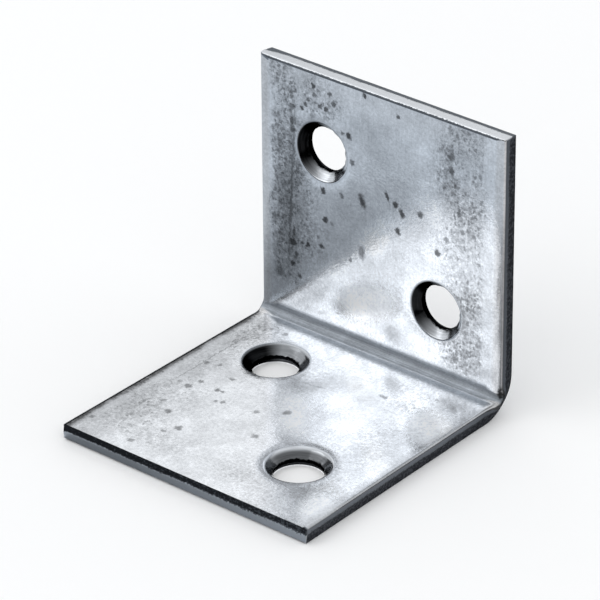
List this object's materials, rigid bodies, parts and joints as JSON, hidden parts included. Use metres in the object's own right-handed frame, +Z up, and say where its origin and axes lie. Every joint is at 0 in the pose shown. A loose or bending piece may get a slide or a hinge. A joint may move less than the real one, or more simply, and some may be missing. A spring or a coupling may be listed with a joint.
{
  "type": "angle bracket",
  "caption": "Folded sheet-steel angle bracket with screw holes set diagonally across each leg, for joining members at a right angle.",
  "frame": {"origin": "on the surface the bracket stands on, under the middle of its bounding box", "axes": "+X along the fold, +Y out of the standing leg's outer face (the lying leg runs towards -Y), +Z up out of the lying leg"},
  "size_m": [0.0406, 0.0414, 0.04],
  "materials": {
    "zinc_coated_steel": "dull mottled zinc coat"
  },
  "bodies": {
    "root": {"angle_bracket": "zinc_coated_steel"}
  },
  "joints": []
}
